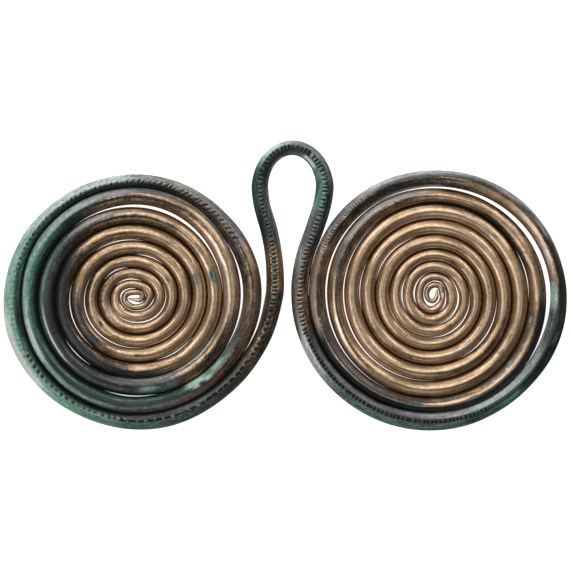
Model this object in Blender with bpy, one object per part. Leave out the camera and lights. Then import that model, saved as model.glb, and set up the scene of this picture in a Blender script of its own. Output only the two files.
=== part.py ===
"""A spectacle brooch: one tapering bronze rod wound into two flat spiral discs joined by a loop.

The brooch lies face up on its back. +X runs from the left disc to the right one, +Y from the discs
to the loop and +Z out of the face. It rests on z = 0, and the origin is under the middle of its
outline. Sizes are millimetres until the mesh is made.
"""
import math
from bisect import bisect_right

import bmesh
import bpy

METRE = 0.001
RINGS_PER_TURN = 36         # sections of the rod in one turn of a disc
EYE_RINGS_PER_TURN = 24     # fewer in the small turns
EYE_TURNS = 3               # how many turns count as small
LOOP_STEP = 4.0             # distance between sections along the loop
EYE_STEP = 1.2              # the same in the tight hook at each eye
SEAM_GAP = 0.24             # clearance between turns that lie against each other

# The rod's section as (share of its width, share of its height): a narrow flat back, flanks that
# meet the next turn a little below mid-height, and a crest
FLAT_BACK = 0.17
SECTION = (
    (-0.50, 0.45),
    (-FLAT_BACK, 0.0),
    (FLAT_BACK, 0.0),
    (0.50, 0.45),
    (0.27, 0.84),
    (0.0, 1.0),
    (-0.27, 0.84),
)

# The loop's crown is half an ellipse, and its legs are guided by points, each with the rod's width
CROWN_CENTRE = (2.55, 34.4)
CROWN_HALF_WIDTH = 11.5
CROWN_RISE = 14.3
CROWN_WIDTHS = ((0, 5.95), (45, 5.5), (90, 5.3), (135, 5.7), (180, 6.4))    # degrees, width
LEFT_LEG = (
    (-7.2, -16.6, 6.05),
    (-3.9, -4.2, 6.4),
    (-3.5, 2.5, 6.35),
    (-4.1, 11.0, 6.15),
    (-5.7, 19.5, 6.1),
    (-8.1, 28.0, 5.95),
)
RIGHT_LEG = (
    (13.0, 28.0, 6.5),
    (10.3, 19.5, 6.5),
    (7.2, 11.0, 6.3),
    (5.5, 2.5, 6.2),
)

ROD_HEIGHT = 5.7            # of the thick rod, in the loop and the outer turns
HEIGHT_SHARE = 0.93         # height over width where the rod is thinner than that


def swell(at, start, peak, end):
    """A smooth bump: 0 outside start..end and 1 at the peak."""
    if at <= start or at >= end:
        return 0.0
    share = (at - start) / (peak - start) if at < peak else (end - at) / (end - peak)
    return 0.5 - 0.5 * math.cos(math.pi * share)


def smooth(pairs, at):
    """The smooth curve through (place, value) pairs, level past both ends."""
    places = [place for place, _ in pairs]
    at = min(max(at, places[0]), places[-1])
    here = min(max(bisect_right(places, at) - 1, 0), len(pairs) - 2)

    def slope(index):
        before = pairs[max(index - 1, 0)]
        after = pairs[min(index + 1, len(pairs) - 1)]
        return (after[1] - before[1]) / (after[0] - before[0])

    span = places[here + 1] - places[here]
    u = (at - places[here]) / span
    rise = pairs[here + 1][1] - pairs[here][1]
    blend = 3 * u**2 - 2 * u**3
    lead_in = (u**3 - 2 * u**2 + u) * span * slope(here)
    lead_out = (u**3 - u**2) * span * slope(here + 1)
    return pairs[here][1] + blend * rise + lead_in + lead_out


class Disc:
    """A flat spiral, measured by turns counted outwards from its eye.

    Turn t lies at the angle 2 * pi * t, anticlockwise on the left disc and mirrored on the right.
    The seam is the line between two turns: it moves out by the pitch each turn, faster as the rod
    thickens, and dents or gaps in single places show that it was wound by hand.
    """

    def __init__(self, centre, side, turns, first, pitch, growth, oval, gaps, dents, outer, eye,
                 heights):
        self.centre = centre
        self.side = side                # +1, or -1 where the disc is mirrored
        self.start, self.leave = turns  # where the eye's hook ends and where the loop begins
        self.first = first              # the seam's distance from the eye at turn 0
        self.pitch = pitch
        self.growth = growth            # what the square of the turn adds to the seam
        self.oval = oval                # how far the disc is from round
        self.gaps = gaps                # (opens, widest, closes, width) of daylight in a seam
        self.dents = dents              # (from, most, to, distance) that a seam is pushed outwards
        self.outer = outer              # (turn, width) of the rod in the outermost turn
        self.eye = eye                  # (x, y, width) of the hook, from its tip
        self.heights = heights          # (turn, height) of the rod

    def seam(self, turn):
        radius = self.first + self.pitch * turn + self.growth * turn**2
        radius += self.oval * math.cos(4 * math.pi * turn)
        return radius + sum(push * swell(turn, *where) for *where, push in self.dents)

    def band(self, turn):
        """The rod's inner and outer radius."""
        daylight = max(width * swell(turn, *where) for *where, width in self.gaps)
        inner = self.seam(turn) + daylight
        if turn <= self.leave - 1:
            return inner + SEAM_GAP / 2, self.seam(turn + 1) - SEAM_GAP / 2
        return inner + SEAM_GAP / 2, inner + smooth(self.outer, turn)

    def place(self, x, y):
        return self.centre[0] + self.side * x, self.centre[1] + y

    def sections(self):
        """The rod's sections outwards from the eye, as (inner point, outer point, height)."""
        turns = [self.start]
        while turns[-1] < self.leave - 0.5 / RINGS_PER_TURN:
            rings = EYE_RINGS_PER_TURN if turns[-1] < EYE_TURNS else RINGS_PER_TURN
            turns.append(round(turns[-1] * rings + 1) / rings)
        for turn in turns:
            angle = 2 * math.pi * turn
            edges = [self.place(radius * math.cos(angle), radius * math.sin(angle))
                     for radius in self.band(turn)]
            yield (*edges, smooth(self.heights, turn))


LEFT_DISC = Disc(
    centre=(-53.3, -4.2), side=1, turns=(0.0, 7.917),
    first=2.70, pitch=3.43, growth=0.212, oval=0.53,
    gaps=(
        (0.38, 0.46, 0.54, 0.25), (1.15, 1.30, 1.44, 0.35), (1.50, 1.85, 2.14, 0.40),
        (2.27, 2.35, 2.43, 0.30), (3.12, 3.19, 3.26, 0.30), (3.38, 3.60, 3.84, 0.36),
        (4.20, 4.30, 4.38, 0.30), (4.44, 4.55, 4.66, 0.30), (4.79, 4.85, 4.92, 0.30),
        (5.58, 5.62, 5.67, 0.25), (5.98, 6.20, 6.38, 1.00), (6.69, 6.74, 6.80, 0.30),
        (6.90, 7.01, 7.10, 0.76),
    ),
    dents=(
        (-0.20, 0.00, 0.25, 0.67), (0.60, 0.75, 0.90, 0.12), (1.00, 1.27, 1.55, -0.64),
        (2.00, 2.24, 2.50, -0.50), (3.05, 3.27, 3.60, -0.50), (4.05, 4.27, 4.45, -0.43),
        (5.90, 6.08, 6.25, -0.43), (7.05, 7.20, 7.40, 0.71), (7.40, 7.52, 7.70, -0.74),
        (7.70, 7.83, 7.95, -0.57),
    ),
    outer=(
        (6.92, 6.45), (7.00, 6.70), (7.08, 6.60), (7.12, 5.75), (7.17, 5.20), (7.25, 4.80),
        (7.33, 4.70), (7.42, 5.15), (7.50, 6.35), (7.54, 6.80), (7.58, 6.40), (7.67, 5.30),
        (7.71, 5.30), (7.79, 6.15), (7.87, 5.70), (7.92, 6.00),
    ),
    eye=(
        (-2.00, -0.66, 0.75), (0.06, -0.98, 1.40), (1.90, -0.98, 1.95), (2.85, 0.19, 2.05),
        (2.15, 1.40, 2.20), (0.34, 1.80, 2.40), (-2.50, 1.38, 2.50), (-3.72, -0.20, 2.45),
        (-2.85, -2.36, 2.40), (0.06, -3.70, 2.40), (3.60, -2.75, 2.70),
    ),
    heights=((0.0, 2.7), (2.0, 3.7), (4.5, 4.8), (7.0, ROD_HEIGHT), (7.92, ROD_HEIGHT)),
)

RIGHT_DISC = Disc(
    centre=(52.1, -3.8), side=-1, turns=(0.5, 9.0),
    first=0.63, pitch=2.90, growth=0.2125, oval=-0.15,
    gaps=(
        (0.65, 0.78, 0.90, 0.50), (1.45, 1.58, 1.70, 0.45), (1.88, 2.03, 2.26, 0.50),
        (2.33, 2.55, 2.78, 0.50), (2.89, 3.01, 3.14, 0.40), (3.45, 3.63, 3.81, 0.40),
        (5.02, 5.12, 5.23, 0.36), (5.48, 5.60, 5.71, 0.36), (5.95, 6.02, 6.10, 0.25),
        (6.70, 6.95, 7.19, 0.45), (7.41, 7.46, 7.52, 0.30), (7.78, 8.03, 8.22, 0.57),
        (8.12, 8.47, 8.62, 1.56),
    ),
    dents=(
        (0.30, 0.50, 0.80, 0.70), (0.80, 1.05, 1.20, -0.64), (1.15, 1.33, 1.45, 0.78),
        (1.40, 1.55, 1.70, -0.64), (1.70, 2.02, 2.30, -1.03), (2.80, 3.03, 3.25, -0.60),
        (3.80, 4.10, 4.50, -0.39), (8.00, 8.30, 8.50, -0.67), (8.16, 8.27, 8.50, -0.39),
        (8.60, 8.80, 9.00, -1.24),
    ),
    outer=(
        (8.00, 5.95), (8.08, 5.95), (8.17, 6.15), (8.25, 5.92), (8.37, 6.00), (8.46, 5.65),
        (8.50, 5.92), (8.54, 6.35), (8.58, 6.40), (8.62, 5.90), (8.67, 5.80), (8.71, 6.20),
        (8.79, 6.60), (8.87, 6.40), (9.00, 6.20),
    ),
    eye=(
        (-1.80, 2.33, 0.65), (-1.75, 1.31, 1.05), (-1.70, 0.18, 1.50), (-1.20, -1.20, 1.80),
        (-0.07, -1.95, 1.80), (1.28, -1.20, 1.90), (1.86, 0.32, 2.00), (1.42, 2.45, 2.25),
        (0.14, 3.69, 2.40), (-1.38, 3.95, 2.40), (-3.05, 3.08, 2.35),
    ),
    heights=((0.5, 2.6), (2.5, 3.6), (5.0, 4.7), (8.0, ROD_HEIGHT), (9.0, ROD_HEIGHT)),
)


def crown():
    """Guide points of the loop's crown, from the left leg over to the right one."""
    for degrees in range(0, 181, 15):
        angle = math.radians(degrees)
        x = CROWN_CENTRE[0] - CROWN_HALF_WIDTH * math.cos(angle)
        y = CROWN_CENTRE[1] + CROWN_RISE * math.sin(angle)
        yield x, y, smooth(CROWN_WIDTHS, degrees)


def curve_through(guides, step):
    """A smooth centre line through (x, y, width) guides, with a point at about every step."""
    travelled = [0.0]
    for first, second in zip(guides, guides[1:]):
        travelled.append(travelled[-1] + math.dist(first[:2], second[:2]))
    tracks = [list(zip(travelled, values)) for values in zip(*guides)]
    points = []
    for start, end in zip(travelled, travelled[1:]):
        pieces = max(1, round((end - start) / step))
        for index in range(pieces):
            at = start + (end - start) * index / pieces
            points.append(tuple(smooth(track, at) for track in tracks))
    return points + [tuple(guides[-1])]


def sections_along(points, tallest):
    """Sections square to a centre line, as (left point, right point, height)."""
    for index, (x, y, width) in enumerate(points):
        before = points[max(index - 1, 0)]
        after = points[min(index + 1, len(points) - 1)]
        length = math.dist(before[:2], after[:2])
        half_x = (before[1] - after[1]) / length * width / 2
        half_y = (after[0] - before[0]) / length * width / 2
        height = min(HEIGHT_SHARE * width, tallest)
        yield (x + half_x, y + half_y), (x - half_x, y - half_y), height


def as_guide(section):
    """A section's middle and width, for a centre line to pass through."""
    (left_x, left_y), (right_x, right_y), _ = section
    width = math.dist((left_x, left_y), (right_x, right_y))
    return (left_x + right_x) / 2, (left_y + right_y) / 2, width


def eye_sections(disc, turns):
    """The hook at a disc's eye, from its tip up to the first section of the turns."""
    guides = [(*disc.place(x, y), width - SEAM_GAP) for x, y, width in disc.eye]
    points = curve_through([*guides, as_guide(turns[0])], EYE_STEP)
    sections = list(sections_along(points, turns[0][2]))[:-1]
    if disc.side > 0:
        return sections
    return [(right, left, height) for left, right, height in sections]


def loop_sections(left_turns, right_turns):
    """The loop, with the last section of each disc."""
    guides = [
        *(as_guide(section) for section in left_turns[-2:]),
        *LEFT_LEG,
        *crown(),
        *RIGHT_LEG,
        *(as_guide(section) for section in reversed(right_turns[-2:])),
    ]
    points = curve_through(guides, LOOP_STEP)
    return list(sections_along(points, ROD_HEIGHT))[1:-1]


def rod_sections():
    """Every section of the rod, from the left eye round to the right eye."""
    left_turns = list(LEFT_DISC.sections())
    right_turns = list(RIGHT_DISC.sections())
    right_half = eye_sections(RIGHT_DISC, right_turns) + right_turns[:-1]
    return [
        *eye_sections(LEFT_DISC, left_turns),
        *left_turns[:-1],
        *loop_sections(left_turns, right_turns),
        *reversed(right_half),
    ]


def ring_points(section):
    """The corners of one section, from the left edge under the back to the right edge."""
    (left_x, left_y), (right_x, right_y), height = section
    for across, up in SECTION:
        x = (left_x + right_x) / 2 + (right_x - left_x) * across
        y = (left_y + right_y) / 2 + (right_y - left_y) * across
        yield x, y, height * up


def bronze():
    material = bpy.data.materials.new("bronze")
    material.use_nodes = True
    shader = material.node_tree.nodes["Principled BSDF"]
    shader.inputs["Base Color"].default_value = (0.16, 0.15, 0.10, 1)
    shader.inputs["Roughness"].default_value = 0.42
    shader.inputs["Metallic"].default_value = 0.7
    return material


def make_rod():
    """The one rod: rings of the section joined by walls, with a small face on each tip."""
    rings = [list(ring_points(section)) for section in rod_sections()]
    corners = [corner for ring in rings for corner in ring]
    middle_x = (min(x for x, _, _ in corners) + max(x for x, _, _ in corners)) / 2
    middle_y = (min(y for _, y, _ in corners) + max(y for _, y, _ in corners)) / 2
    shape = bmesh.new()
    made = [[shape.verts.new(((x - middle_x) * METRE, (y - middle_y) * METRE, z * METRE))
             for x, y, z in ring] for ring in rings]
    for ring, following in zip(made, made[1:]):
        for index, corner in enumerate(ring):
            neighbour = (index + 1) % len(ring)
            shape.faces.new((corner, ring[neighbour], following[neighbour], following[index]))
    shape.faces.new(reversed(made[0]))
    shape.faces.new(made[-1])
    bmesh.ops.recalc_face_normals(shape, faces=shape.faces)
    mesh = bpy.data.meshes.new("brooch_rod")
    shape.to_mesh(mesh)
    shape.free()
    mesh.materials.append(bronze())
    mesh.shade_smooth()
    mesh.set_sharp_from_angle(angle=math.radians(35))
    rod = bpy.data.objects.new("brooch_rod", mesh)
    bpy.context.collection.objects.link(rod)


for leftover in list(bpy.data.objects):
    bpy.data.objects.remove(leftover)
make_rod()
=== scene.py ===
# %% [markdown]
# # A spectacle brooch in bronze
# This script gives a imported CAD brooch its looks. The brooch is one long bronze rod. It was wound
# into two flat spiral discs, like a pair of spectacles, with a tall loop between them.
# The CAD model is the fixed frame: it settles where everything is and how big it is. So the first
# step loads it and keeps its box, because nothing that is made here may be larger.

# %% Load the fixed frame
import math
from dataclasses import dataclass

import bpy
import numpy as np
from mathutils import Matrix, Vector


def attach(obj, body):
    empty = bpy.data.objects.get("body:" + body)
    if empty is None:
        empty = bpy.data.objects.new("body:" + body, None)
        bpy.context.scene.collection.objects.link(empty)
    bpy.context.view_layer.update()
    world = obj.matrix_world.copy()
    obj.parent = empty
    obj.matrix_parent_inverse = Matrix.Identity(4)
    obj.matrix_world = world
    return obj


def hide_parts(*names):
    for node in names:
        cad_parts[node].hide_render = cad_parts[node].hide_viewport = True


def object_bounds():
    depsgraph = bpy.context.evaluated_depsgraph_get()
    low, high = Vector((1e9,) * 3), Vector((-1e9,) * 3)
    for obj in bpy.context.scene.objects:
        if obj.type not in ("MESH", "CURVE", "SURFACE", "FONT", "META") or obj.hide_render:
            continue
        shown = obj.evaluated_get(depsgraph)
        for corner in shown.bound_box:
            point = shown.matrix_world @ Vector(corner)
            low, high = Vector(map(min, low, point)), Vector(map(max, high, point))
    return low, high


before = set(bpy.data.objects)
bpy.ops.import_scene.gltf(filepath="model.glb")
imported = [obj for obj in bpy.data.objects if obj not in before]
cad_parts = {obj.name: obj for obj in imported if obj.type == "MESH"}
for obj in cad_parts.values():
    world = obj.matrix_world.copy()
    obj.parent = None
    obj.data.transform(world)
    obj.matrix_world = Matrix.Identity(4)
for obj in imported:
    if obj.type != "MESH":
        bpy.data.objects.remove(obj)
cad_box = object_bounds()
print("the CAD brooch measures", [round((b - a) * 1000, 1) for a, b in zip(*cad_box)], "mm")

# %% [markdown]
# ## The rule of the rod
# The smith's rod is thickest in the loop and the outer turns, and tapers to a point in each eye.
# A spiral could be a Blender curve with a bevel, but a curve has one section all along, and this
# rod's edges were set by its neighbours: each turn lies against the one before. So the rod is
# described by its two edges, as the CAD does, only with far more sections. Two small helpers do
# the work, a bump and a smooth curve through a few given values, and a third adds an object.

# %% Helpers for objects and curves
METRE = 0.001               # the script works in millimetres until a mesh is made


def new_object(name, data):
    """An object in the scene that shows a mesh, a lamp or a camera."""
    made = bpy.data.objects.new(name, data)
    bpy.context.collection.objects.link(made)
    return made


def swell(at, start, peak, end):
    """A smooth bump: 0 outside start..end and 1 at the peak."""
    share = np.where(at < peak, (at - start) / (peak - start), (end - at) / (end - peak))
    return 0.5 - 0.5 * np.cos(np.pi * np.clip(share, 0, 1))


def smooth(pairs, at):
    """The smooth curve through (place, value) pairs, level past both ends."""
    places, values = (np.array(column, float) for column in zip(*pairs))
    last = len(pairs) - 1
    before = np.maximum(np.arange(last + 1) - 1, 0)
    after = np.minimum(np.arange(last + 1) + 1, last)
    slopes = (values[after] - values[before]) / (places[after] - places[before])
    at = np.clip(at, places[0], places[-1])
    here = np.clip(np.searchsorted(places, at, side="right") - 1, 0, last - 1)
    span = places[here + 1] - places[here]
    u = (at - places[here]) / span
    rise = (3 * u**2 - 2 * u**3) * (values[here + 1] - values[here])
    lead_in = (u**3 - 2 * u**2 + u) * span * slopes[here]
    lead_out = (u**3 - u**2) * span * slopes[here + 1]
    return values[here] + rise + lead_in + lead_out


# %% [markdown]
# ## The two discs
# A disc is measured by turns, counted outwards from its eye. The line between two turns is the
# seam. It moves out by about one rod's width each turn. Where the smith's hand slipped, the seam
# has a dent, or it opens and lets daylight through. The right disc is wound the other way. All
# that sets one disc apart from the other is a value, so a dataclass holds the values and one rule
# turns them into edges.

# %% A disc's rule
SEAM_OVERLAP = 0.03         # of turns that touch, so that no floor shows between them
OUTSIDE_TRIM = 0.04         # off the outermost edge, so that the rod stays in the CAD's box


@dataclass
class Disc:
    centre: tuple
    side: int           # +1, or -1 where the disc is mirrored
    start: float        # the turn where the eye's hook ends
    leave: float        # the turn where the loop begins
    first: float        # the seam's distance from the eye at turn 0
    pitch: float
    growth: float       # what the square of the turn adds to the seam
    oval: float         # how far the disc is from round
    gaps: tuple         # (opens, widest, closes, width) of daylight in a seam
    dents: tuple        # (from, most, to, distance) that a seam is pushed outwards
    outer: tuple        # (turn, width) of the rod in the outermost turn
    eye: tuple          # (x, y, width) of the hook, from its tip
    heights: tuple      # (turn, height) of the rod

    def seam(self, turn):
        radius = self.first + self.pitch * turn + self.growth * turn**2
        radius = radius + self.oval * np.cos(4 * np.pi * turn)
        return radius + sum(push * swell(turn, *where) for *where, push in self.dents)

    def daylight(self, turn):
        """How wide open the seam on the inner side of a turn is."""
        return np.max([width * swell(turn, *where) for *where, width in self.gaps], axis=0)

    def band(self, turn):
        """The rod's inner and outer radius."""
        inner = self.seam(turn) + self.daylight(turn)
        wound = self.seam(turn + 1) + SEAM_OVERLAP / 2
        free = inner + smooth(self.outer, turn) - OUTSIDE_TRIM
        return inner - SEAM_OVERLAP / 2, np.where(turn <= self.leave - 1, wound, free)

    def place(self, x, y):
        return self.centre[0] + self.side * x, self.centre[1] + y


# %% The left disc
LEFT = Disc(
    centre=(-53.3, -4.2), side=1, start=0.0, leave=7.917,
    first=2.7, pitch=3.43, growth=0.212, oval=0.53,
    gaps=(
        (0.38, 0.46, 0.54, 0.25), (1.15, 1.3, 1.44, 0.35), (1.5, 1.85, 2.14, 0.4),
        (2.27, 2.35, 2.43, 0.3), (3.12, 3.19, 3.26, 0.3), (3.38, 3.6, 3.84, 0.36),
        (4.2, 4.3, 4.38, 0.3), (4.44, 4.55, 4.66, 0.3), (4.79, 4.85, 4.92, 0.3),
        (5.58, 5.62, 5.67, 0.25), (5.98, 6.2, 6.38, 1.0), (6.69, 6.74, 6.8, 0.3),
        (6.9, 7.01, 7.1, 0.76),
    ),
    dents=(
        (-0.2, 0.0, 0.25, 0.67), (0.6, 0.75, 0.9, 0.12), (1.0, 1.27, 1.55, -0.64),
        (2.0, 2.24, 2.5, -0.5), (3.05, 3.27, 3.6, -0.5), (4.05, 4.27, 4.45, -0.43),
        (5.9, 6.08, 6.25, -0.43), (7.05, 7.2, 7.4, 0.71), (7.4, 7.52, 7.7, -0.74),
        (7.7, 7.83, 7.95, -0.57),
    ),
    outer=(
        (6.92, 6.45), (7.0, 6.7), (7.08, 6.6), (7.12, 5.75), (7.17, 5.2), (7.25, 4.8),
        (7.33, 4.7), (7.42, 5.15), (7.5, 6.35), (7.54, 6.8), (7.58, 6.4), (7.67, 5.3),
        (7.71, 5.3), (7.79, 6.15), (7.87, 5.7), (7.92, 6.0),
    ),
    eye=(
        (-2.0, -0.66, 0.75), (0.06, -0.98, 1.4), (1.9, -0.98, 1.95), (2.85, 0.19, 2.05),
        (2.15, 1.4, 2.2), (0.34, 1.8, 2.4), (-2.5, 1.38, 2.5), (-3.72, -0.2, 2.45),
        (-2.85, -2.36, 2.4), (0.06, -3.7, 2.4), (3.6, -2.75, 2.7),
    ),
    heights=((0.0, 2.7), (2.0, 3.7), (4.5, 4.8), (7.0, 5.7), (7.92, 5.7)),
)
print("the left disc has", LEFT.leave - LEFT.start, "turns")

# %% The right disc
RIGHT = Disc(
    centre=(52.1, -3.8), side=-1, start=0.5, leave=9.0,
    first=0.63, pitch=2.9, growth=0.2125, oval=-0.15,
    gaps=(
        (0.65, 0.78, 0.9, 0.5), (1.45, 1.58, 1.7, 0.45), (1.88, 2.03, 2.26, 0.5),
        (2.33, 2.55, 2.78, 0.5), (2.89, 3.01, 3.14, 0.4), (3.45, 3.63, 3.81, 0.4),
        (5.02, 5.12, 5.23, 0.36), (5.48, 5.6, 5.71, 0.36), (5.95, 6.02, 6.1, 0.25),
        (6.7, 6.95, 7.19, 0.45), (7.41, 7.46, 7.52, 0.3), (7.78, 8.03, 8.22, 0.57),
        (8.12, 8.47, 8.62, 1.56),
    ),
    dents=(
        (0.3, 0.5, 0.8, 0.7), (0.8, 1.05, 1.2, -0.64), (1.15, 1.33, 1.45, 0.78),
        (1.4, 1.55, 1.7, -0.64), (1.7, 2.02, 2.3, -1.03), (2.8, 3.03, 3.25, -0.6),
        (3.8, 4.1, 4.5, -0.39), (8.0, 8.3, 8.5, -0.67), (8.16, 8.27, 8.5, -0.39),
        (8.6, 8.8, 9.0, -1.24),
    ),
    outer=(
        (8.0, 5.95), (8.08, 5.95), (8.17, 6.15), (8.25, 5.92), (8.37, 6.0), (8.46, 5.65),
        (8.5, 5.92), (8.54, 6.35), (8.58, 6.4), (8.62, 5.9), (8.67, 5.8), (8.71, 6.2),
        (8.79, 6.6), (8.87, 6.4), (9.0, 6.2),
    ),
    eye=(
        (-1.8, 2.33, 0.65), (-1.75, 1.31, 1.05), (-1.7, 0.18, 1.5), (-1.2, -1.2, 1.8),
        (-0.07, -1.95, 1.8), (1.28, -1.2, 1.9), (1.86, 0.32, 2.0), (1.42, 2.45, 2.25),
        (0.14, 3.69, 2.4), (-1.38, 3.95, 2.4), (-3.05, 3.08, 2.35),
    ),
    heights=((0.5, 2.6), (2.5, 3.6), (5.0, 4.7), (8.0, 5.7), (9.0, 5.7)),
)
print("the right disc has", RIGHT.leave - RIGHT.start, "turns")

# %% [markdown]
# ## The loop
# The rod leaves the left disc, climbs a leg, goes over a crown that is half an ellipse, and comes
# down the other leg. Guide points with the rod's width at each are enough, because a smooth curve
# goes through them, and the discs' last sections are its first and last guides.

# %% The loop's guides
CROWN_CENTRE = (2.55, 34.4)
CROWN_HALF_WIDTH = 11.5
CROWN_RISE = 14.3
CROWN_WIDTHS = ((0, 5.95), (45, 5.5), (90, 5.3), (135, 5.7), (180, 6.4))    # degrees, width
LEFT_LEG = (
    (-7.2, -16.6, 6.05), (-3.9, -4.2, 6.4), (-3.5, 2.5, 6.35), (-4.1, 11.0, 6.15),
    (-5.7, 19.5, 6.1), (-8.1, 28.0, 5.95),
)
RIGHT_LEG = ((13.0, 28.0, 6.5), (10.3, 19.5, 6.5), (7.2, 11.0, 6.3), (5.5, 2.5, 6.2))
ROD_HEIGHT = 5.7
HEIGHT_SHARE = 0.93         # height over width where the rod is thinner than that


def crown():
    for degrees in range(0, 181, 15):
        angle = math.radians(degrees)
        yield (CROWN_CENTRE[0] - CROWN_HALF_WIDTH * math.cos(angle),
               CROWN_CENTRE[1] + CROWN_RISE * math.sin(angle),
               float(smooth(CROWN_WIDTHS, degrees)))


def curve_through(guides, step):
    """A smooth centre line through (x, y, width) guides, as rows of x, y and width."""
    guides = np.array(guides, float)
    chords = np.hypot(*np.diff(guides[:, :2], axis=0).T)
    travelled = np.concatenate([[0], np.cumsum(chords)])
    at = np.linspace(0, travelled[-1], int(travelled[-1] / step) + 2)
    return np.stack([smooth(list(zip(travelled, values)), at) for values in guides.T], 1)


print("the crown's centre line rises to", CROWN_CENTRE[1] + CROWN_RISE, "mm")

# %% [markdown]
# ## The whole rod as one list of stations
# A station is a place along the rod: its left edge, its right edge and its height there. Travelling
# from the left eye to the right one, the left edge is the inner one on both discs.

# %% Stations along the rod
GUIDE_STEP = 1 / 36         # of a turn, between the CAD's sections of a disc
STATIONS_PER_TURN = 480
LOOP_STEP, HOOK_STEP = 0.5, 0.2         # mm between the stations of the loop and of a hook
HOOK_TRIM = 0.12            # off a hook's width, so that it stays clear of the first turn
ON_LEFT, ON_LOOP, ON_RIGHT = -1, 0, 1


def disc_stations(disc, zone):
    """Rows of left x, y, right x, y, height, turn and zone, outwards from the eye."""
    count = int((disc.leave - disc.start) * STATIONS_PER_TURN)
    turns = np.linspace(disc.start, disc.leave, count)
    angle = 2 * np.pi * turns
    edges = [edge for radius in disc.band(turns)
             for edge in disc.place(radius * np.cos(angle), radius * np.sin(angle))]
    return np.stack([*edges, smooth(disc.heights, turns), turns, np.full_like(turns, zone)], 1)


def as_guide(disc, turn):
    """The rod's middle and width at a turn, for a centre line to pass through."""
    inner, outer = (float(edge) for edge in disc.band(np.float64(turn)))
    angle = 2 * math.pi * turn
    middle = (inner + outer) / 2
    return *disc.place(middle * math.cos(angle), middle * math.sin(angle)), outer - inner


def line_stations(points, tallest, turns, zone):
    """Stations square to a centre line, as rows like those of a disc."""
    along = np.gradient(points[:, :2], axis=0)
    along /= np.hypot(*along.T)[:, None]
    half = np.stack([-along[:, 1], along[:, 0]], 1) * points[:, 2:3] / 2
    height = np.minimum(HEIGHT_SHARE * points[:, 2], tallest)
    labels = [height, turns, np.full(len(points), zone)]
    return np.concatenate([points[:, :2] + half, points[:, :2] - half, np.stack(labels, 1)], 1)


def eye_stations(disc, zone):
    """The hook from the rod's tip to the first turn. By number it is one turn."""
    guides = [(*disc.place(x, y), width - HOOK_TRIM) for x, y, width in disc.eye]
    points = curve_through([*guides, as_guide(disc, disc.start)], HOOK_STEP)
    turns = np.linspace(disc.start - 1, disc.start, len(points))
    found = line_stations(points, float(smooth(disc.heights, disc.start)), turns, zone)
    other_way = [2, 3, 0, 1, 4, 5, 6]       # left and right change places on a mirrored disc
    return found[:-1] if disc.side > 0 else found[:-1][:, other_way]


print(len(disc_stations(LEFT, ON_LEFT)), "stations on the left disc")

# %% One list for the whole rod
loop_guides = [
    *(as_guide(LEFT, LEFT.leave - back) for back in (GUIDE_STEP, 0)),
    *LEFT_LEG, *crown(), *RIGHT_LEG,
    *(as_guide(RIGHT, RIGHT.leave - back) for back in (0, GUIDE_STEP)),
]
loop_points = curve_through(loop_guides, LOOP_STEP)
loop_turns = np.linspace(0, 1, len(loop_points))
left_half = np.concatenate([eye_stations(LEFT, ON_LEFT), disc_stations(LEFT, ON_LEFT)])
right_half = np.concatenate([eye_stations(RIGHT, ON_RIGHT), disc_stations(RIGHT, ON_RIGHT)])
loop_part = line_stations(loop_points, ROD_HEIGHT, loop_turns, ON_LOOP)
joint_chord = math.dist(loop_guides[0][:2], loop_guides[1][:2])
trimmed = int(joint_chord / LOOP_STEP) + 1    # the loop's first and last guides lie in the discs
stations = np.concatenate([left_half, loop_part[trimmed:-trimmed], right_half[::-1]])
middles = (stations[:, 0:2] + stations[:, 2:4]) / 2
along_stations = np.concatenate([[0], np.cumsum(np.hypot(*np.diff(middles, axis=0).T))])
print("the rod is", round(along_stations[-1] / 1000, 3), "m long")

# %% [markdown]
# ## Where the rings go
# The finished rod is a skin of rings, joined by narrow quads. Rings every millimetre are plenty on
# the smooth turns, but the loop and the outermost turns carry a row of little punched cuts along
# their crest, and each cut needs five or six rings. So the spacing follows the work: close rings
# where there are cuts and in the tight eyes, wide ones elsewhere. A cut is real relief here, and
# not a bump in the material, because it shows in the outline of the light and in the mesh itself.

# %% The rows of cuts


def along_at(zone, turn):
    """How far along the rod a turn of a zone is, in millimetres."""
    chosen = stations[:, 6] == zone
    turns, along = stations[chosen, 5], along_stations[chosen]
    order = np.argsort(turns)
    return np.interp(turn, turns[order], along[order])


def stretch(zone, start, end):
    """Both ends of a stretch of the rod, in millimetres from its left tip."""
    return sorted((along_at(zone, start), along_at(zone, end)))
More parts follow.
